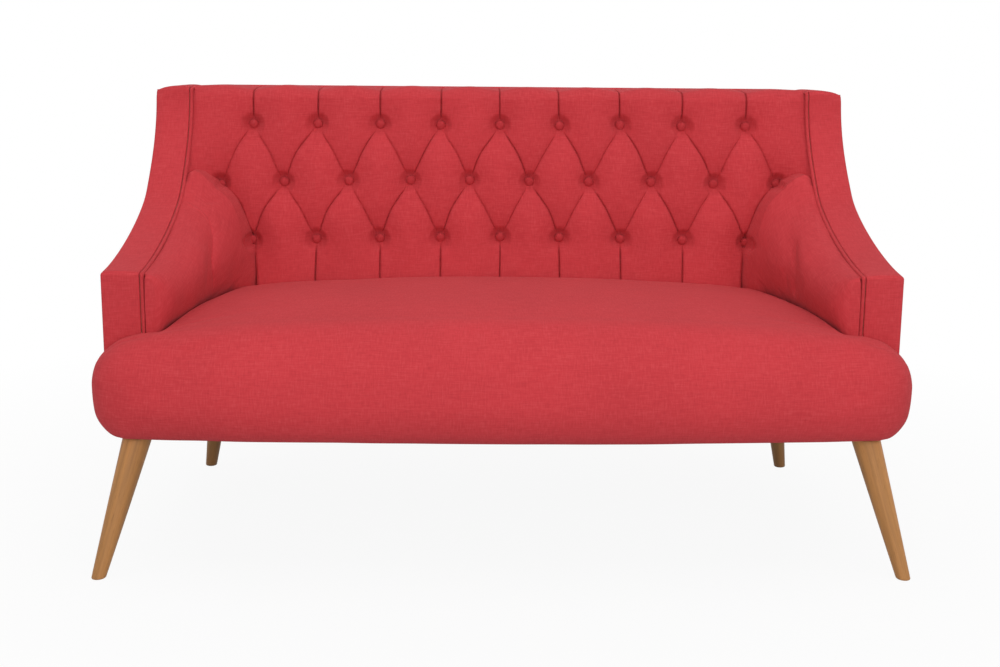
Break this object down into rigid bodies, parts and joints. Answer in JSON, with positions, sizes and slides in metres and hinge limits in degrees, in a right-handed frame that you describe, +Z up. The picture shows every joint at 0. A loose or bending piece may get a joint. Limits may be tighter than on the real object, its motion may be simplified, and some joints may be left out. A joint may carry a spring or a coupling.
{
  "type": "two-seater sofa",
  "caption": "Small two-seater sofa with a deep-buttoned back, swooping piped arms, a bull-nosed bench seat and splayed tapered wooden legs.",
  "frame": {"origin": "on the floor, under the middle of the sofa's overall box", "axes": "+X to the right seen from the front, +Y to the back, +Z up"},
  "size_m": [1.3214, 0.715, 0.771],
  "materials": {
    "fabric": "plain-woven red upholstery fabric",
    "button_fabric": "the same red fabric over a button shell",
    "piping_fabric": "the same red fabric over a cord",
    "leg_wood": "satin varnished hardwood",
    "timber": "sawn beech, unfinished",
    "plywood": "birch plywood, unfinished",
    "steel": "zinc-plated",
    "webbing": "elastic webbing",
    "hessian": "jute",
    "lining": "black spun-bonded lining"
  },
  "bodies": {
    "root": {"front_rail": "timber", "rear_rail": "timber", "side_rail_left": "timber", "side_rail_right": "timber", "seat_brace": "timber", "front_leg_blocks": "timber", "rear_leg_blocks": "timber", "arm_inner_ply_left": "plywood", "arm_inner_ply_right": "plywood", "arm_outer_ply_left": "plywood", "arm_outer_ply_right": "plywood", "arm_former_left": "timber", "arm_former_right": "timber", "back_stile_left": "timber", "back_stile_right": "timber", "back_top_rail": "timber", "back_bottom_rail": "timber", "back_uprights": "timber", "back_board": "plywood", "rail_dowels": "timber", "back_dowels": "timber", "arm_bolts": "steel", "arm_bolt_nuts": "steel", "back_bolts": "steel", "back_bolt_nuts": "steel", "webbing_long": "webbing", "webbing_cross": "webbing", "seat_hessian": "hessian", "seat_pad": "fabric", "back_pad": "fabric", "back_buttons": "button_fabric", "button_ties": "hessian", "arm_pad_left": "fabric", "arm_pad_right": "fabric", "arm_band_left": "fabric", "arm_band_right": "fabric", "arm_piping_left": "piping_fabric", "arm_piping_right": "piping_fabric", "outside_arm_left": "fabric", "outside_arm_right": "fabric", "outside_back": "fabric", "dust_cover": "lining", "leg_front_left": "leg_wood", "leg_front_right": "leg_wood", "leg_rear_left": "leg_wood", "leg_rear_right": "leg_wood", "leg_plates": "steel", "leg_bolts": "steel", "plate_screws": "steel"}
  },
  "joints": []
}
